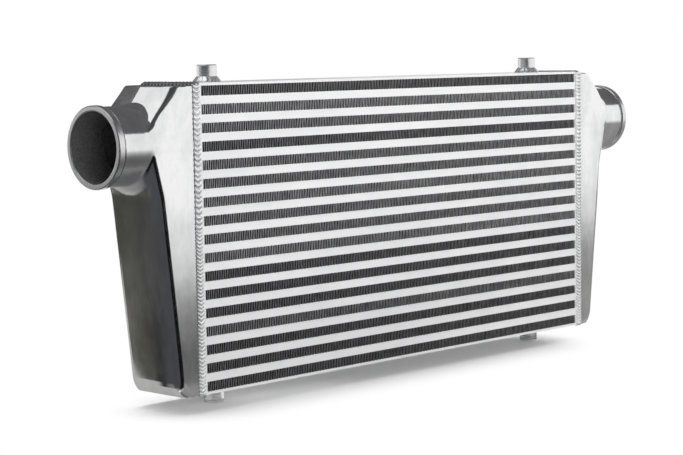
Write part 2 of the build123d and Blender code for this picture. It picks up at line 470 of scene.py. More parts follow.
# %% Side view of a tank
TANK_LOW, TANK_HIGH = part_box("right_tank")
TANK_HEIGHT = (TANK_HIGH[2] - TANK_LOW[2]) / MM
NECK_REACH = (TANK_HIGH[0] - CORE_RIGHT) / MM
HALF_DEPTH = (CORE_BACK - CORE_FRONT) / 2 / MM
FOOT = (24.6, -7.0)
WAIST = (47.0, TANK_HEIGHT - 106.0)
SHOULDER = (63.2, TANK_HEIGHT - 42.0)
CROWN = (30.3, TANK_HEIGHT)
FOOT_RADIUS, WAIST_RADIUS, SHOULDER_RADIUS = 24.0, 60.0, 16.0
BEYOND = 30.0  # how far the view is drawn past the top and into the core, before it is trimmed


def rounded_corner(before, corner, after, radius, steps=9):
    """Points of the arc that rounds a corner of a polygon."""
    before, corner, after = (np.array(p, float) for p in (before, corner, after))
    to_before = (before - corner) / np.linalg.norm(before - corner)
    to_after = (after - corner) / np.linalg.norm(after - corner)
    half = math.acos(float(np.clip(to_before @ to_after, -1, 1))) / 2
    middle = (to_before + to_after) / np.linalg.norm(to_before + to_after)
    centre = corner + middle * radius / math.sin(half)
    start = corner + to_before * radius / math.tan(half) - centre
    end = corner + to_after * radius / math.tan(half) - centre
    sweep = math.atan2(start[0] * end[1] - start[1] * end[0], start @ end)
    angles = np.linspace(0, sweep, steps)
    return [centre + (start[0] * math.cos(t) - start[1] * math.sin(t),
                      start[0] * math.sin(t) + start[1] * math.cos(t)) for t in angles]


rise = np.array(CROWN) - np.array(SHOULDER)
past_crown = tuple(np.array(CROWN) + rise * BEYOND / rise[1])
inner_foot = (-BEYOND, FOOT[1])
OUTLINE = np.array([(-BEYOND, past_crown[1]), inner_foot,
                    *rounded_corner(inner_foot, FOOT, WAIST, FOOT_RADIUS),
                    *rounded_corner(FOOT, WAIST, SHOULDER, WAIST_RADIUS),
                    *rounded_corner(WAIST, SHOULDER, past_crown, SHOULDER_RADIUS), past_crown])
print("side view points", len(OUTLINE))

# %% Rules for distances
def distance_to_outline(outline, u, z):
    """Distance of points from a closed outline, negative inside."""
    nearest = np.full(u.shape, 1e9)
    inside = np.zeros(u.shape, bool)
    for (u0, z0), (u1, z1) in zip(outline, np.roll(outline, -1, axis=0)):
        du, dz = u1 - u0, z1 - z0
        along = np.clip(((u - u0) * du + (z - z0) * dz) / (du * du + dz * dz), 0, 1)
        nearest = np.minimum(nearest, (u - u0 - along * du) ** 2 + (z - z0 - along * dz) ** 2)
        crosses = (z0 > z) != (z1 > z)
        if dz != 0:
            inside ^= crosses & (u < u0 + (z - z0) * du / dz)
    return np.where(inside, -1.0, 1.0) * np.sqrt(nearest)


def round_both(a, b, radius):
    """Inside both shapes, with the edge between them rounded off."""
    over = np.sqrt(np.maximum(a + radius, 0) ** 2 + np.maximum(b + radius, 0) ** 2)
    return over + np.minimum(np.maximum(a + radius, b + radius), 0) - radius


def round_either(a, b, radius):
    """Inside either shape, with a hollow root of that radius between them."""
    return -round_both(-a, -b, radius)


print("rules ready")

# %% [markdown]
# The rim is rolled to one radius all round, and a little wider up the chamfer above the neck. The
# chamfer is ground by hand: its front part leans a few degrees against its back, so that the two
# parts shine differently. The hollow inside follows the same form, one wall's thickness in.
# The neck is as wide as the tank is deep, so at the front it runs straight into the flat face, and
# its hollow root is widest in the middle of the tank's side.

# %% Distance to a tank's metal
TANK_WALL = 3.5
RIM_RADIUS = 9.0
RIM_GROWTH = 5.0  # up to the top of the chamfer
TOP_RADIUS = 1.5
LEAN_WIDTH = 42.0
LEAN_SLOPE = 0.07
NECK_RADIUS = 38.0
NECK_WALL = 4.0
NECK_HEIGHT = TANK_HEIGHT - 56.2
NECK_STUB = NECK_REACH - 8.6
NECK_LAP = 0.3  # how far the casting runs into the turned end
LEAN_HEIGHTS = (SHOULDER[1] - 6, SHOULDER[1] + 8)  # where the lean sets in, up the side
RIM_HEIGHTS = (SHOULDER[1] + 16, CROWN[1])  # where the rim grows
TIGHT_ROOT, WIDE_ROOT = 1.0, 10.0
ROOT_PLACES = (-37.0, -24.0)  # from tight at the front and back to wide farther in
ROOT_FADE = 0.75  # how much of the wide root is lost on the chamfer
ROOT_HEIGHTS = (SHOULDER[1] + 4, SHOULDER[1] + 18)


def ease(value, start, end):
    """0 before start, 1 after end, and smooth between."""
    t = np.clip((value - start) / (end - start), 0, 1)
    return t * t * (3 - 2 * t)


def rolled_body(side, y, z, inset=0.0):
    """Distance from the tank's body with its rims rolled, or from its hollow with a wall as inset."""
    across = np.abs(y) - HALF_DEPTH + inset
    chamfer = ease(z, *LEAN_HEIGHTS)
    lean = LEAN_SLOPE * chamfer * np.maximum(-y - HALF_DEPTH + LEAN_WIDTH, 0)
    rim = RIM_RADIUS + RIM_GROWTH * ease(z, *RIM_HEIGHTS)
    return round_both(side + lean + inset, across, rim - inset)


def tank_distance(u, y, z, side=None):
    """Distance from the metal of the right tank. side is the distance in side view, if known."""
    if side is None:
        side = distance_to_outline(OUTLINE, u, z)
    body = round_both(rolled_body(side, y, z), z - TANK_HEIGHT, TOP_RADIUS)
    from_axis = np.sqrt(y ** 2 + (z - NECK_HEIGHT) ** 2)
    neck = np.maximum(from_axis - NECK_RADIUS, u - NECK_STUB - NECK_LAP)
    fade = 1 - ROOT_FADE * ease(z, *ROOT_HEIGHTS)
    root = TIGHT_ROOT + (WIDE_ROOT - TIGHT_ROOT) * ease(-np.abs(y), *ROOT_PLACES) * fade
    outside = np.maximum(round_either(body, neck, root), -z)
    hollow = hollow_distance(y, z, side)
    return np.maximum(np.maximum(outside, -hollow), -u)


def hollow_distance(y, z, side):
    """Distance from the space inside the tank and its neck, negative in the space."""
    ends = np.maximum(z - TANK_HEIGHT + TANK_WALL, TANK_WALL - z)
    inner = np.maximum(rolled_body(side, y, z, TANK_WALL), ends)
    from_axis = np.sqrt(y ** 2 + (z - NECK_HEIGHT) ** 2)
    return np.minimum(inner, from_axis - NECK_RADIUS + NECK_WALL)


in_the_wall = (np.array(20.0), np.array(0.0), np.array(TANK_WALL / 2))
print("at the wall's middle", round(float(tank_distance(*in_the_wall)), 2))

# %% [markdown]
# To draw the net, space is cut into small cubes. Every cube that the surface passes through gets one
# point, and the points of neighbouring cubes are joined into four-sided faces. Then each point is
# slid onto the surface along the slope of the distance, and that slope is also the surface's normal.

# %% Net over a surface
CUBE = 1.45
SLIDES = 4  # times that each point is moved towards the surface
INNER_SKIN = 0.6  # faces nearer to the hollow than this have the sand skin, painted dark for the shade inside


def both_ends(axis, rest):
    """Cuts of a grid without its last layer along an axis, and without its first."""
    low, high = [rest] * 3, [rest] * 3
    low[axis], high[axis] = slice(0, -1), slice(1, None)
    return tuple(low), tuple(high)


def net_over(values, origin, cube):
    """Points and faces of the nought surface of a grid of distances."""
    inside = values < 0
    crossings = np.zeros(tuple(n - 1 for n in values.shape) + (3,))
    found = np.zeros(crossings.shape[:3])
    shape = np.array(values.shape)
    for axis in range(3):
        others = [k for k in range(3) if k != axis]
        low, high = both_ends(axis, slice(None))
        first, second = values[low], values[high]
        change = inside[low] != inside[high]
        share = np.where(change, first / np.where(change, first - second, 1.0), 0.0)
        for a in (0, 1):
            for b in (0, 1):
                cut = [slice(None)] * 3
                cut[others[0]] = slice(a, shape[others[0]] - 1 + a)
                cut[others[1]] = slice(b, shape[others[1]] - 1 + b)
                here, part = change[tuple(cut)], share[tuple(cut)]
                found += here
                crossings[..., axis] += here * part
                crossings[..., others[0]] += here * a
                crossings[..., others[1]] += here * b
    cells = found > 0
    number = np.full(cells.shape, -1)
    number[cells] = np.arange(int(cells.sum()))
    places = np.argwhere(cells) + crossings[cells] / found[cells][:, None]
    return places * cube + np.array(origin), net_faces(inside, number)


def net_faces(inside, number):
    """One four-sided face round every cube edge that the surface crosses."""
    faces = []
    for axis in range(3):
        p, q = (axis + 1) % 3, (axis + 2) % 3
        low, high = both_ends(axis, slice(1, -1))
        enters, leaves = inside[low], inside[high]
        for flip, mask in ((False, enters & ~leaves), (True, ~enters & leaves)):
            at = np.argwhere(mask)
            at[:, p] += 1
            at[:, q] += 1
            corner = []
            for back_p, back_q in ((1, 1), (0, 1), (0, 0), (1, 0)):
                index = at.copy()
                index[:, p] -= back_p
                index[:, q] -= back_q
                corner.append(number[index[:, 0], index[:, 1], index[:, 2]])
            quad = np.stack(corner, axis=1)
            faces.append(quad[:, ::-1] if flip else quad)
    return np.concatenate(faces)


def slope_at(points, reach=0.03):
    """Direction in which the distance grows fastest, and how fast it grows."""
    grow = np.empty_like(points)
    for axis in range(3):
        step = np.zeros(3)
        step[axis] = reach
        grow[:, axis] = tank_distance(*(points + step).T) - tank_distance(*(points - step).T)
    length = np.maximum(np.linalg.norm(grow, axis=1), 1e-9)
    return grow / length[:, None], length / (2 * reach)


print("cube", CUBE)

# %% Net of the right tank
low_corner = np.array((-2.5 * CUBE, -HALF_DEPTH - 3 * CUBE, -2.5 * CUBE))
high_corner = np.array((NECK_STUB + 3 * CUBE, HALF_DEPTH + 3 * CUBE, TANK_HEIGHT + 3 * CUBE))
axes = [np.arange(low_corner[k], high_corner[k] + CUBE, CUBE) for k in range(3)]
side_grid = distance_to_outline(OUTLINE, *np.meshgrid(axes[0], axes[2], indexing="ij"))
grid_u, grid_y, grid_z = np.meshgrid(*axes, indexing="ij")
values = tank_distance(grid_u, grid_y, grid_z, side_grid[:, None, :])
tank_points, tank_faces = net_over(values, low_corner, CUBE)
for _ in range(SLIDES):
    slope, speed = slope_at(tank_points)
    slide = slope * (tank_distance(*tank_points.T) / np.maximum(speed, 0.3))[:, None]
    tank_points -= np.clip(slide, -0.5 * CUBE, 0.5 * CUBE)
tank_normals, _ = slope_at(tank_points)
middles = tank_points[tank_faces].mean(axis=1)
side_there = distance_to_outline(OUTLINE, middles[:, 0], middles[:, 2])
is_inside = hollow_distance(middles[:, 1], middles[:, 2], side_there) < INNER_SKIN
print("tank net", len(tank_points), "points", len(tank_faces), "faces")

# %% [markdown]
# The neck ends in a raised bead that keeps a hose from slipping off. It is turned in a lathe, so it
# is drawn as a half section and spun round the neck's axis.

# %% Turned neck end
NECK_STEPS = 144
BEAD_SECTION = (  # radius and distance from the core's end, in millimetres
    (38.0, -0.1), (37.5, 0.35), (37.7, 0.8), (38.4, 1.3), (39.2, 1.9), (39.45, 2.2), (39.5, 2.6),
    (39.5, 2.8), (39.5, 7.2), (39.5, 7.4), (39.4, 7.9), (39.1, 8.3), (38.7, 8.55), (38.4, 8.6),
    (38.2, 8.6), (35.3, 8.6), (35.1, 8.6), (34.6, 8.5), (34.2, 8.2), (34.0, 7.7), (34.0, 7.5), (34.0, -0.1))
BORE_BANDS = 2  # the last two bands of the section are the bore and the joint with the casting
angles = np.arange(NECK_STEPS) / NECK_STEPS * 2 * math.pi
ring_points = np.array([(NECK_STUB + along, radius * math.cos(a), NECK_HEIGHT + radius * math.sin(a))
                        for radius, along in BEAD_SECTION for a in angles])
rings = len(BEAD_SECTION)
ring_faces = np.array(band_faces(NECK_STEPS, rings, rings))
ring_inside = [int(r >= rings - BORE_BANDS) for r in range(rings) for _ in range(NECK_STEPS)]
print("neck end", len(ring_points), "points")


# %% Place both tanks
def place_on(side, points):
    """Points in a tank's own millimetres, moved to the row frame. side is 1 right and -1 left."""
    end = CORE_RIGHT if side > 0 else CORE_LEFT
    placed = points * MM
    placed[:, 0] = end + side * placed[:, 0]
    placed[:, 2] += TANK_LOW[2]
    return placed


for side, name in ((-1, "left_tank"), (1, "right_tank")):
    body = mesh_object(f"{name}_casting", place_on(side, tank_points),
                       tank_faces[:, ::side].tolist(), CASTING, smooth=True)
    body.data.materials.append(SAND_SKIN_AND_SHADE)
    body.data.polygons.foreach_set("material_index", is_inside.astype(np.int32))
    body.data.normals_split_custom_set_from_vertices((tank_normals * (side, 1, 1)).tolist())
    ring = mesh_object(f"{name}_neck_end", place_on(side, ring_points),
                       ring_faces[:, ::-side].tolist(), FACED_END, smooth=True)
    ring.data.set_sharp_from_angle(angle=math.radians(50))
    ring.data.materials.append(SAND_SKIN_AND_SHADE)
    ring.data.polygons.foreach_set("material_index", ring_inside)
    for piece in (body, ring):
        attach(piece, "root")
        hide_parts(name)
print("tanks placed")

# %% [markdown]
# ## The weld beads
#
# The bead that joins a tank to the core runs right round the joint. A welder feeds it in dabs, so
# it is a chain of overlapping puddles, each with a curved front edge. It is made as a grid: one
# way runs along the seam, the other across it, and the height above the metal is a formula of both.

# %% The seam's path
BEAD_WIDTH = 10.8 * MM
BEAD_SHIFT = 1.5 * MM  # the bead lies more on the core than on the tank
BEAD_CROWN = 1.45 * MM
BEAD_SINK = 0.5 * MM
BEAD_STEP = 0.45 * MM
BEAD_ACROSS = 15
CORNER_RADIUS = 2.0 * MM
corners = ((CORE_FRONT, CORE_BOTTOM, 1, 1), (CORE_FRONT, CORE_TOP, 1, -1),
           (CORE_BACK, CORE_TOP, -1, -1), (CORE_BACK, CORE_BOTTOM, -1, 1))
points, outward = [], []  # a closed loop on (y, z), and at each point the way out of the metal
for quarter, (y, z, in_y, in_z) in enumerate(corners):
    for k in range(7):
        angle = math.radians(270 - 90 * quarter - 15 * k)
        outward.append((math.cos(angle), math.sin(angle)))
        points.append((y + in_y * CORNER_RADIUS + CORNER_RADIUS * math.cos(angle),
                       z + in_z * CORNER_RADIUS + CORNER_RADIUS * math.sin(angle)))
print("points on the loop", len(points))

# %% Even steps along the seam
closed, facing = (np.vstack([loop, loop[:1]]) for loop in (points, outward))
travelled = np.concatenate([[0], np.cumsum(np.linalg.norm(np.diff(closed, axis=0), axis=1))])
stops = np.linspace(0, travelled[-1], int(travelled[-1] / BEAD_STEP), endpoint=False)
places, facings = (np.stack([np.interp(stops, travelled, loop[:, k]) for k in (0, 1)], axis=1)
                   for loop in (closed, facing))
facings /= np.linalg.norm(facings, axis=1)[:, None]
print("seam length", round(float(stops[-1]), 4), "steps", len(stops))

# %% [markdown]
# The height over the seam is a crown, plus one step for every puddle. A puddle's front edge is a
# curve, so the count of puddles at a point depends on how far it is from the seam's middle: a deep
# curve gives round fish scales, a shallow one gives fine ripples. The welder's rhythm is never
# perfect, so the pitch wanders along the way.

# %% Heights of a bead
RIPPLE_HEIGHT = 0.64 * MM
BEAD_LIMIT = 1.55 * MM  # no ripple stands higher than this
PITCH_WANDER, STRENGTH_WANDER = 0.16, 0.3  # shares by which the welder's hand varies
CROWN_SHAPE = 0.55  # a smaller number gives a flatter crown with steeper sides
PUDDLE_BACK = 0.74  # share of a puddle over which it rises, before it drops to the next
CREASE = (0.97, 0.13)  # where a puddle's crease lies, and how wide its painted shade is
ROUND_PITCH = 4 * MM  # longer puddles have a round front, shorter ones a pointed one


def smooth_noise(count, every, random):
    """Random values between -1 and 1 that change smoothly, one knot for every few steps."""
    knots = random.uniform(-1, 1, count // every + 3)
    return np.interp(np.arange(count) / every, np.arange(len(knots)), knots)


def bead_grid(pitch, bow, random):
    """Sideways offset, height above the metal and painted shade for each step (rows) and place across
    (columns).
    """
    count = len(stops)
    across = np.linspace(-1, 1, BEAD_ACROSS)
    puddle = np.cumsum(BEAD_STEP / (pitch * (1 + PITCH_WANDER * smooth_noise(count, 9, random))))
    curve = np.where(pitch[:, None] > ROUND_PITCH, across ** 2, np.abs(across))
    phase = (puddle[:, None] - bow[:, None] * curve) % 1.0
    rising = np.sin(phase / PUDDLE_BACK * math.pi / 2)
    rise = np.where(phase < PUDDLE_BACK, rising, (1 - phase) / (1 - PUDDLE_BACK))
    strength = 1 + STRENGTH_WANDER * smooth_noise(count, 25, random)
    crown = BEAD_CROWN * np.clip(1 - across ** 2, 0, 1)[None, :] ** CROWN_SHAPE
    height = crown * (0.92 + 0.06 * smooth_noise(count, 14, random)[:, None])
    height = height + RIPPLE_HEIGHT * strength[:, None] * (rise - 0.75) * (1 - across ** 6)[None, :]
    height[:, 0] = height[:, -1] = -BEAD_SINK
    # Painted shade, darkest in each puddle's crease.
    from_crease = np.abs((phase - CREASE[0] + 0.5) % 1.0 - 0.5)
    painted_shade = np.clip(1.3 - from_crease / CREASE[1], 0, 1)
    edge = 1 - 0.07 * np.cos(2 * math.pi * puddle) + 0.03 * smooth_noise(count, 7, random)
    sideways = across[None, :] * BEAD_WIDTH / 2 * edge[:, None] * 0.95
    return sideways, np.minimum(height, BEAD_LIMIT), painted_shade


print("ripple", RIPPLE_HEIGHT)

# %% [markdown]
# On top the tank is a little lower than the core, so there the bead slopes down to it. Painted shade
# darkens the creases, mostly on the tank's side, a line along the undercut beside the bead, and its
# top run.

# %% Make the beads round the core's ends
ROUND_SCALES = (5.2 * MM, 0.75)  # pitch of the puddles and how far each one bows
FINE_RIPPLES = (3.7 * MM, 0.85)
SMOOTH_BEAD = (4.4 * MM, 0.6)
CHANGE_HEIGHT = CORE_BOTTOM + 0.53 * (CORE_TOP - CORE_BOTTOM)
UNDERCUT = (BEAD_WIDTH * 0.36, 0.8 * MM)  # painted shadow line along the undercut: its distance from the seam, and about half its width
# Painted shade over the bead's whole top run, which faces up.
TOP_RUN_SHADE = 0.6


def loop_faces(steps, across):
    """Faces of a grid that closes on itself along its steps and is open across."""
    return [(i * across + j, (i + 1) % steps * across + j,
             (i + 1) % steps * across + j + 1, i * across + j + 1)
            for i in range(steps) for j in range(across - 1)]


def store_painted_shade(item, painted_shade):
    """Stores how much painted shade each point has, for the weld's material to read."""
    layer = item.data.attributes.new("painted_shade", "FLOAT", "POINT")
    layer.data.foreach_set("value", painted_shade.reshape(-1).astype(np.float32))


def bead_object(name, node, seam_x, side, upper, random):
    """One bead: side is -1 where the tank is to the left of the seam and 1 where it is to the right."""
    _, tank_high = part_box(node.replace("_weld", ""))
    drop = CORE_TOP - tank_high[2]
    is_upper = places[:, 1] > CHANGE_HEIGHT
    pitch, bow = (np.where(is_upper, upper[k], FINE_RIPPLES[k]) for k in (0, 1))
    sideways, height, painted_shade = bead_grid(pitch, bow, random)
    sideways = sideways - side * BEAD_SHIFT
    tankward = np.clip(sideways * side / (BEAD_WIDTH / 2) + 0.25, 0, 1)
    height = height - drop * np.clip(facings[:, 1], 0, 1)[:, None] * tankward
    y, z = (places[:, k, None] + facings[:, k, None] * height for k in (0, 1))
    grid = np.stack([seam_x + sideways, y, z], axis=2)
    bead = mesh_object(name, grid.reshape(-1, 3), loop_faces(*height.shape), WELD_METAL, smooth=True)
    # Painted shade: a dark line along the undercut, creases darker towards the tank, and a darker top run.
    undercut = np.clip(1.4 - np.abs(sideways * side - UNDERCUT[0]) / UNDERCUT[1], 0, 1)
    on_top = np.clip(facings[:, 1], 0, 1)[:, None] * TOP_RUN_SHADE
    crease = painted_shade * np.clip(0.45 + 2.2 * sideways * side / BEAD_WIDTH, 0.10, 1)
    store_painted_shade(bead, np.clip(crease + undercut * (0.6 + 0.4 * painted_shade) + on_top, 0, 1))
    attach(bead, "root")
    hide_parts(node)
    return bead


bead_random = np.random.default_rng(11)
left_bead = bead_object("left_bead", "left_tank_weld", CORE_LEFT, -1, ROUND_SCALES, bead_random)
right_bead = bead_object("right_bead", "right_tank_weld", CORE_RIGHT, 1, SMOOTH_BEAD, bead_random)
print("bead faces", len(left_bead.data.polygons), len(right_bead.data.polygons))

# %% [markdown]
# ## Welds round the bosses
#
# The same idea, turned round a boss's axis: a hollow fillet whose surface carries small ripples.

# %% Make the boss welds
BOSS_STEPS = 132
BOSS_ACROSS = 9
BOSS_LEG = 6.0 * MM
BOSS_RIPPLES = 17
BOSS_RIPPLE_HEIGHT = 0.30 * MM


def boss_weld_grid(name, random):
    """Vertices and faces of the ring round one boss."""
    low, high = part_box(name)
    x, y = (low[0] + high[0]) / 2, (low[1] + high[1]) / 2
    radius = (high[0] - low[0]) / 2
    up = 1 if name.startswith("upper") else -1
    root = low[2] if up > 0 else high[2]
    turn_steps = np.arange(BOSS_STEPS) / BOSS_STEPS
    ripple = BOSS_RIPPLES * turn_steps + 0.25 * smooth_noise(BOSS_STEPS, 11, random)
    along = np.linspace(0, 1, BOSS_ACROSS)
    phase = (ripple[:, None] + 0.8 * (2 * along[None, :] - 1) ** 2) % 1.0
    rise = np.where(phase < 0.7, phase / 0.7, (1 - phase) / 0.3) * np.sin(math.pi * along)[None, :]
    hollow = 1 - np.sin(math.pi / 2 * along) * 0.999
    out = radius - 0.3 * MM + (BOSS_LEG + 0.2 * MM) * (1 - along) ** 1.35
    lift = -0.2 * MM + (BOSS_LEG - 0.1 * MM) * (1 - hollow) ** 1.9
    angle = 2 * math.pi * turn_steps[:, None]
    reach = out[None, :] + BOSS_RIPPLE_HEIGHT * rise
    height = lift[None, :] + BOSS_RIPPLE_HEIGHT * rise
    grid = np.stack([x + reach * np.cos(angle), y + reach * np.sin(angle), root + up * height], axis=2)
    faces = [face[::up] for face in loop_faces(BOSS_STEPS, BOSS_ACROSS)]
    # Painted shade in the creases between the ripples.
    painted_shade = np.clip(1 - np.abs(phase - 0.95) / 0.12, 0, 1)
    return grid.reshape(-1, 3), faces, painted_shade.reshape(-1)


vertices, faces, painted_shade = [], [], []
for name in ("upper_left_boss", "upper_right_boss", "lower_left_boss", "lower_right_boss"):
    ring_vertices, ring_faces, ring_shade = boss_weld_grid(name, bead_random)
    painted_shade.append(ring_shade)
    start = len(ring_vertices) * len(vertices)  # all rings have the same number of points
    vertices.append(ring_vertices)
    faces += [tuple(start + k for k in face) for face in ring_faces]
boss_rings = mesh_object("boss_rings", np.concatenate(vertices), faces, WELD_METAL, smooth=True)
store_painted_shade(boss_rings, np.concatenate(painted_shade))
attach(boss_rings, "root")
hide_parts("boss_welds")
print("boss weld faces", len(boss_rings.data.polygons))

# %% [markdown]
# ## Camera
#
# The camera stands in front of the left end, a little above the core, and looks along a long lens.
# Its place and angles are those at which the core's corners fall where they should.

# %% Camera
CAMERA_PLACE = (-1.4783, -1.3779, 0.3447)
CAMERA_YAW = math.radians(45.74)
CAMERA_DIP = math.radians(5.37)
CAMERA_ROLL = math.radians(-0.89)
CAMERA_LENS = 98.705  # for a sensor 36 mm wide
camera_data = bpy.data.cameras.new("camera")
camera_data.sensor_width = 36.0
camera_data.lens = CAMERA_LENS
camera = bpy.data.objects.new("camera", camera_data)
bpy.context.scene.collection.objects.link(camera)
turn = Matrix.Rotation(-CAMERA_YAW, 4, "Z")
tilt = Matrix.Rotation(math.pi / 2 - CAMERA_DIP, 4, "X")
roll = Matrix.Rotation(CAMERA_ROLL, 4, "Z")
camera.matrix_world = Matrix.Translation(CAMERA_PLACE) @ turn @ tilt @ roll
bpy.context.scene.camera = camera
print("camera", CAMERA_PLACE)

# %% [markdown]
# ## Floor
#
# A white sheet under the bosses. Near a line under the core it is an ordinary pale surface, so that
# it takes the part's shadow. Some centimetres away from the line it turns into plain white, so that
# the shadow ends softly and the floor runs into the background with no edge. Mirrors and metal see
# it the same way as the camera does.


# %% Place of the shadow
SHADOW_START, SHADOW_END = (-0.26, 0.0, 0.0), (0.20, 0.0, 0.0)  # the line that the shadow keeps to
SHADOW_NEAR, SHADOW_FAR = 0.035, 0.115  # from the line, where the white begins and where it is full


def seen_directly(tree):
    """1 for rays from the camera, from shiny surfaces and through glass, and 0 for soft light."""
    path = add_node(tree, "ShaderNodeLightPath").outputs
    direct = path["Is Camera Ray"]
    for ray in ("Is Glossy Ray", "Is Transmission Ray"):
        direct = add_node(tree, "ShaderNodeMath", {0: direct, 1: path[ray]}, operation="MAXIMUM").outputs[0]
    return direct


print("shadow fades from", SHADOW_NEAR, "to", SHADOW_FAR)

# %% The floor's surface
material, tree, shader = new_material("white_floor")
shader.inputs["Base Color"].default_value = (0.94, 0.94, 0.94, 1.0)
shader.inputs["Roughness"].default_value = 0.9
shader.inputs["Specular IOR Level"].default_value = 0.0
place = add_node(tree, "ShaderNodeTexCoord").outputs["Object"]
nearest = add_node(tree, "ShaderNodeVectorMath", {0: place, 1: SHADOW_START}, operation="MAXIMUM")
between = {0: nearest.outputs[0], 1: SHADOW_END}
nearest = add_node(tree, "ShaderNodeVectorMath", between, operation="MINIMUM")
distance = add_node(tree, "ShaderNodeVectorMath", {0: place, 1: nearest.outputs[0]}, operation="DISTANCE")
spread = {"Value": distance.outputs["Value"], "From Min": SHADOW_NEAR, "From Max": SHADOW_FAR}
far = add_node(tree, "ShaderNodeMapRange", spread, interpolation_type="SMOOTHSTEP").outputs["Result"]
white = add_node(tree, "ShaderNodeMath", {0: far, 1: seen_directly(tree)}, operation="MULTIPLY")
glow = add_node(tree, "ShaderNodeEmission", {"Strength": 1.0})
parts = {0: white.outputs[0], 1: shader.outputs[0], 2: glow.outputs[0]}
mixed = add_node(tree, "ShaderNodeMixShader", parts)
tree.links.new(mixed.outputs[0], tree.nodes["Material Output"].inputs["Surface"])
print("made", material.name)

# %% Floor
FLOOR_SPAN = 12.0
bpy.ops.mesh.primitive_grid_add(x_subdivisions=2, y_subdivisions=2, size=FLOOR_SPAN)
floor = bpy.context.object
floor.name = "floor"
floor.data.materials.append(material)
print("floor", FLOOR_SPAN)

# %% [markdown]
# ## Studio light
#
# The world is white to look at and much dimmer as a lamp. Two wide, soft suns do the rest: the key
# shines almost straight down, so that the shadow lies under the core, and the fill shines from the
# front left, low enough to reach the faces of the bars.


# %% World and lamps
WORLD_LIGHT = 0.38
world = bpy.data.worlds.new("studio")
bpy.context.scene.world = world
world.use_nodes = True
tree = world.node_tree
background = tree.nodes["Background"]
background.inputs["Color"].default_value = (1.0, 1.0, 1.0, 1.0)
spread = {"Value": seen_directly(tree), "To Min": WORLD_LIGHT, "To Max": 1.0}
strength = add_node(tree, "ShaderNodeMapRange", spread)
tree.links.new(strength.outputs["Result"], background.inputs["Strength"])


def soft_sun(name, towards, strength, spread):
    """A sun that shines along a direction. It lights but isn't mirrored as a hot spot."""
    data = bpy.data.lights.new(name, "SUN")
    data.energy = strength
    data.angle = math.radians(spread)
    lamp = bpy.data.objects.new(name, data)
    lamp.rotation_euler = Vector(towards).to_track_quat("-Z", "Y").to_euler()
    lamp.visible_glossy = False
    bpy.context.scene.collection.objects.link(lamp)
    return lamp


bpy.context.scene.view_settings.view_transform = "Standard"
key = soft_sun("key", towards=(0.06, -0.10, -1.0), strength=2.15, spread=28.0)
fill = soft_sun("fill", towards=(0.35, 0.90, -0.20), strength=1.5, spread=30.0)
print("lamps", key.name, fill.name)

# %% [markdown]
# ## Cards for the metal to mirror
#
# Polished metal in an all-white studio looks like chalk: it needs something dark to mirror. Studios
# stand black and grey cards round the set for that. These cards are seen by shiny surfaces only, so
# they draw bands on the metal and neither dim the soft light nor appear behind the part.


# %% Card helpers
def card_material(name, stops, axis="X", start=0.0, end=1.0):
    """Glowing card whose colour changes along an axis, from start to end in metres."""
    material, tree, _ = new_material(name)
    tree.nodes.clear()
    place = add_node(tree, "ShaderNodeTexCoord").outputs["Object"]
    along = add_node(tree, "ShaderNodeSeparateXYZ", {"Vector": place}).outputs[axis]
    spread = {"Value": along, "From Min": start, "From Max": end}
    share = add_node(tree, "ShaderNodeMapRange", spread).outputs["Result"]
    glow = add_node(tree, "ShaderNodeEmission", {"Color": ramp(tree, share, stops), "Strength": 1.0})
    output = add_node(tree, "ShaderNodeOutputMaterial")
    tree.links.new(glow.outputs[0], output.inputs["Surface"])
    return material


def plain_card(name, colour):
    """Glowing card of one colour."""
    return card_material(name, [(0.0, colour), (1.0, colour)])


def card(name, corners, material):
    """A flat card through its corners, seen only in shiny surfaces."""
    item = mesh_object(name, np.array(corners), [tuple(range(len(corners)))], material)
    for ray in ("camera", "diffuse", "transmission", "volume_scatter", "shadow"):
        setattr(item, f"visible_{ray}", False)


def wall_card(name, start, end, low, high, material):
    """An upright card from start to end on the plan, between two heights."""
    (x0, y0), (x1, y1) = start, end
    card(name, [(x0, y0, low), (x1, y1, low), (x1, y1, high), (x0, y0, high)], material)


def flat_card(name, plan, height, material):
    """A level card with these corners on the plan."""
    card(name, [(x, y, height) for x, y in plan], material)


print("card helpers ready")

# %% [markdown]
# The camera looks down a little, so an upright face mirrors floor: the left tank's side shows what
# lies to its left and behind, and a front shows what lies before it to the right. Faces that lean
# back show the walls and the ceiling. Slate and olive meet on the floor along one line, which the
# tank's side shows as an upright border. Cards that lie over each other differ a little in height.

# %% Colours of the cards
SLATE = plain_card("slate_card", (0.068, 0.069, 0.078))
BLACK = plain_card("black_card", (0.006, 0.006, 0.007))
GREY = plain_card("grey_card", (0.42, 0.42, 0.42))
DIM = plain_card("dim_card", (0.12, 0.12, 0.125))
OLIVE = plain_card("olive_card", (0.078, 0.077, 0.064))
PALE = plain_card("pale_card", (0.50, 0.50, 0.49))
SOFT_GREY = plain_card("soft_grey_card", (0.31, 0.31, 0.305))
WHITE = plain_card("white_card", (0.90, 0.90, 0.90))
# Painted shade for the metal to mirror: the front card is dark near the core, where the core shades the
# floor, and turns white farther out.
FRONT_GREYS = [(0.0, 0.30), (0.03, 0.25), (0.065, 0.15), (0.15, 0.125), (0.24, 0.17), (0.33, 0.31),
               (0.50, 0.60), (0.76, 0.95), (1.0, 1.0)]  # from the foot of the core outwards, dark near the core as painted shade
FRONT = card_material("front_card", FRONT_GREYS, "Y", -0.05, -1.7)
print("card colours ready")

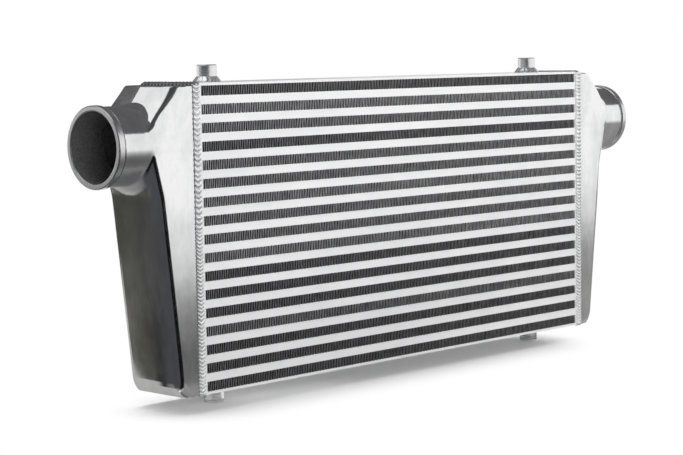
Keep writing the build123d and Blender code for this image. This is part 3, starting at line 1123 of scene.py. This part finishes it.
# %% Cards round the room
ROOM = 3.2
CEILING_HEIGHT = 2.6
TURN = (-ROOM, 0.9)  # where the slate wall ends
BACK_LEFT, BACK_JOINT = (-ROOM, ROOM), (0.5, ROOM)
GREY_TOP = 0.8  # above it the side wall and the left of the back wall are dim
wall_card("slate_front", (-1.3, -ROOM), (-ROOM, -ROOM), 0.0, CEILING_HEIGHT, SLATE)
wall_card("slate_side", (-ROOM, -ROOM), TURN, 0.0, CEILING_HEIGHT, SLATE)
wall_card("grey_side", TURN, BACK_LEFT, 0.0, GREY_TOP, GREY)
wall_card("dim_side", TURN, BACK_LEFT, GREY_TOP, CEILING_HEIGHT, DIM)
wall_card("dim_back_left", BACK_LEFT, BACK_JOINT, GREY_TOP, CEILING_HEIGHT, DIM)
wall_card("dim_back_right", BACK_JOINT, (ROOM, ROOM), 0.3, CEILING_HEIGHT, DIM)
print("room", ROOM, "high", CEILING_HEIGHT)

# %% Cards on the floor
FLOOR_CARD = 0.004
HALF_CARD = FLOOR_CARD / 2
CORNER = (-0.345, -0.036)  # where the left tank's side begins to roll into its front
NEAR_EDGE, FAR_EDGE = (-0.346, 0.022), (-2.97, ROOM)  # the line between slate and olive
LINE_WIDTH = 0.011
near_beside, far_beside = ((x, y - LINE_WIDTH) for x, y in (NEAR_EDGE, FAR_EDGE))
FLOORS = (
    ("black_floor", FLOOR_CARD, BLACK, [CORNER, (-2.1, -ROOM), (0.6, -ROOM)]),
    ("slate_floor", FLOOR_CARD, SLATE,
     [CORNER, NEAR_EDGE, FAR_EDGE, BACK_LEFT, (-ROOM, -ROOM), (-2.1, -ROOM)]),
    ("olive_floor", HALF_CARD, OLIVE, [(-0.30, -0.030), NEAR_EDGE, FAR_EDGE, (-0.30, ROOM)]),
    ("line_floor", FLOOR_CARD * 1.5, BLACK, [NEAR_EDGE, FAR_EDGE, far_beside, near_beside]),
    ("pale_floor", FLOOR_CARD, PALE,
     [(-0.30, -0.036), (-0.352, -0.030), (-0.365, 0.024), (-0.365, 0.045), (-0.380, 0.090),
      (-0.436, 0.182), (-0.494, 0.266), (-0.554, 0.352), (-0.67, 0.53), (-0.45, 0.60), (-0.30, 0.40)]),
    ("left_foot_floor", FLOOR_CARD / 1.5, SOFT_GREY,
     [(-0.36, -0.15), (-0.12, -0.15), (-0.12, -0.04), (-0.30, -0.04)]),
    ("left_foot_light", FLOOR_CARD, WHITE, [(-0.22, -0.04), (-0.10, -0.06), (-0.10, -0.01), (-0.22, -0.01)]),
    ("right_foot_floor", FLOOR_CARD, PALE, [(0.18, -0.15), (0.40, -0.15), (0.40, -0.04), (0.18, -0.04)]),
    ("front_floor", HALF_CARD, FRONT, [(-0.34, -0.045), (2.2, -0.045), (4.0, -1.9), (0.0, -1.9)]),
    # Painted shadow for the metal to mirror: a dim card under the core, where the floor lies in its shade.
    ("under_floor", HALF_CARD, DIM, [(-0.34, -0.045), (0.34, -0.045), (0.34, 0.045), (-0.30, 0.045)]),
    ("right_front_floor", FLOOR_CARD, SOFT_GREY,
     [(0.36, -0.045), (2.2, -0.045), (3.0, -0.75), (0.75, -0.75)]),
    ("right_floor", HALF_CARD, SOFT_GREY, [(0.34, -0.045), (2.2, -0.045), (2.2, 1.5), (0.34, 1.5)]),
)
for name, height, material, plan in FLOORS:
    flat_card(name, plan, height, material)
print("cards on the floor", len(FLOORS))

# %% [markdown]
# In the floor's shadow a lower boss mirrors nothing but shadow. Four slices of a small disc round its
# foot, each of another grey, give its barrel light and dark to show.

# %% Slices round the lower left boss, and the ceiling
BOSS_FOOT = (-0.25, 0.0)
SLICE_REACH = 0.065
SLICES = (("behind", 42, 143, DIM), ("left", 143, 211, PALE),
          ("front", 211, 302, SOFT_GREY), ("right", 302, 372, WHITE))  # angles in degrees
for name, start, end, material in SLICES:
    rim = [(BOSS_FOOT[0] + SLICE_REACH * math.cos(a), BOSS_FOOT[1] + SLICE_REACH * math.sin(a))
           for a in np.radians(np.linspace(start, end, 9))]
    flat_card(f"boss_{name}", [BOSS_FOOT, *rim], FLOOR_CARD * 0.65, material)
CEILINGS = (
    ("ceiling", DIM, [(-0.6, -ROOM), (ROOM, -ROOM), (5.5, -1.5), (5.5, ROOM), (-0.6, ROOM)]),
    ("ceiling_front", SLATE, [(-ROOM, -ROOM), (-0.6, -ROOM), (-0.6, -0.7), (-ROOM, -0.7)]),
    ("ceiling_back", DIM, [(-ROOM, 2.62), (-0.6, 2.62), (-0.6, ROOM), (-ROOM, ROOM)]),
)
for name, material, plan in CEILINGS:
    flat_card(name, plan, CEILING_HEIGHT, material)
print("slices", len(SLICES), "ceilings", len(CEILINGS))
